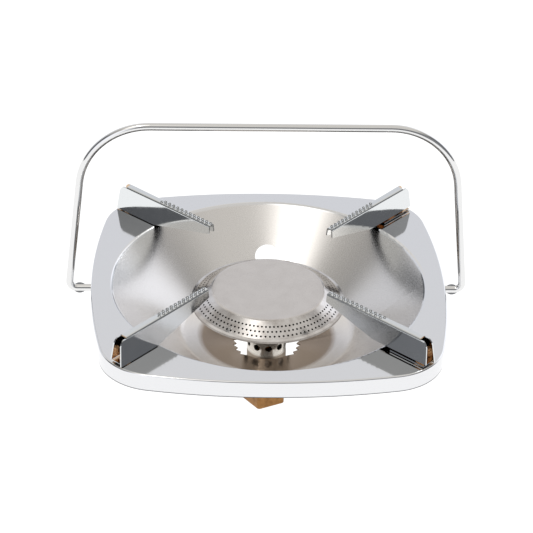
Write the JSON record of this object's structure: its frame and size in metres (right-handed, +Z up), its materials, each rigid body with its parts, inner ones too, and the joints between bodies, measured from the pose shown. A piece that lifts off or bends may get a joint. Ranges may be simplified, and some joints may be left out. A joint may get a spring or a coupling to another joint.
{
  "type": "camping stove",
  "caption": "Camping stove: squarish pressed pan with a round bowl, perforated burner, swivelling pot supports, wire bail handle and a brass cartridge valve.",
  "frame": {"origin": "centre of the mouth of the gas cartridge thread, in the underside of the brass valve body", "axes": "+Z up out of the burner, +X to the right along the bail's crossbar, -Y towards the cook"},
  "size_m": [0.2388, 0.2114, 0.1919],
  "materials": {
    "chrome_pan": "mirror rim, satin bowl",
    "chrome_support": "polished",
    "chrome_wire": "polished",
    "stainless_satin": "satin",
    "stainless_polished": "polished",
    "zinc_steel": "zinc plated",
    "brass": "machined",
    "sintered_bronze": "sintered",
    "rubber_black": "matte",
    "plastic_black": "fine texture"
  },
  "bodies": {
    "stove": {"pan": "chrome_pan", "bridge_bracket": "zinc_steel", "burner_cap": "stainless_satin", "burner_cup": "stainless_satin", "gas_distributor": "stainless_satin", "mixing_tube": "stainless_polished", "valve_body": "brass", "lock_washer": "zinc_steel", "lock_nut": "brass", "jet": "brass", "jet_filter": "sintered_bronze", "depressor_pin": "brass", "cartridge_seal": "rubber_black", "spindle_o_ring": "rubber_black", "gland_nut": "brass", "pivot_studs": "brass", "pivot_spacers": "zinc_steel", "pivot_washers": "zinc_steel", "pivot_nuts": "brass"},
    "bail": {"bail_handle": "chrome_wire"},
    "knob": {"spindle": "brass", "knob": "plastic_black", "knob_insert": "brass", "knob_screw": "zinc_steel"},
    "support_front_left": {"pot_support_front_left": "chrome_support"},
    "support_front_right": {"pot_support_front_right": "chrome_support"},
    "support_back_left": {"pot_support_back_left": "chrome_support"},
    "support_back_right": {"pot_support_back_right": "chrome_support"}
  },
  "joints": [
    {"name": "bail_swing", "type": "hinge", "parent": "stove", "child": "bail", "pos_m": [0, 0, 0.0805], "axis": [1, 0, 0], "range_deg": [-150, 150]},
    {"name": "support_front_left_swing", "type": "hinge", "parent": "stove", "child": "support_front_left", "pos_m": [-0.08415, -0.08415, 0.086], "axis": [0, 0, 1], "range_deg": [-45, 45]},
    {"name": "support_front_right_swing", "type": "hinge", "parent": "stove", "child": "support_front_right", "pos_m": [0.08415, -0.08415, 0.086], "axis": [0, 0, 1], "range_deg": [-45, 45]},
    {"name": "support_back_left_swing", "type": "hinge", "parent": "stove", "child": "support_back_left", "pos_m": [-0.08415, 0.08415, 0.086], "axis": [0, 0, 1], "range_deg": [-45, 45]},
    {"name": "support_back_right_swing", "type": "hinge", "parent": "stove", "child": "support_back_right", "pos_m": [0.08415, 0.08415, 0.086], "axis": [0, 0, 1], "range_deg": [-45, 45]},
    {"name": "knob_turn", "type": "hinge", "parent": "stove", "child": "knob", "pos_m": [0, 0, 0.017], "axis": [0.9063, 0.4226, 0], "range_deg": [0, 270]}
  ]
}
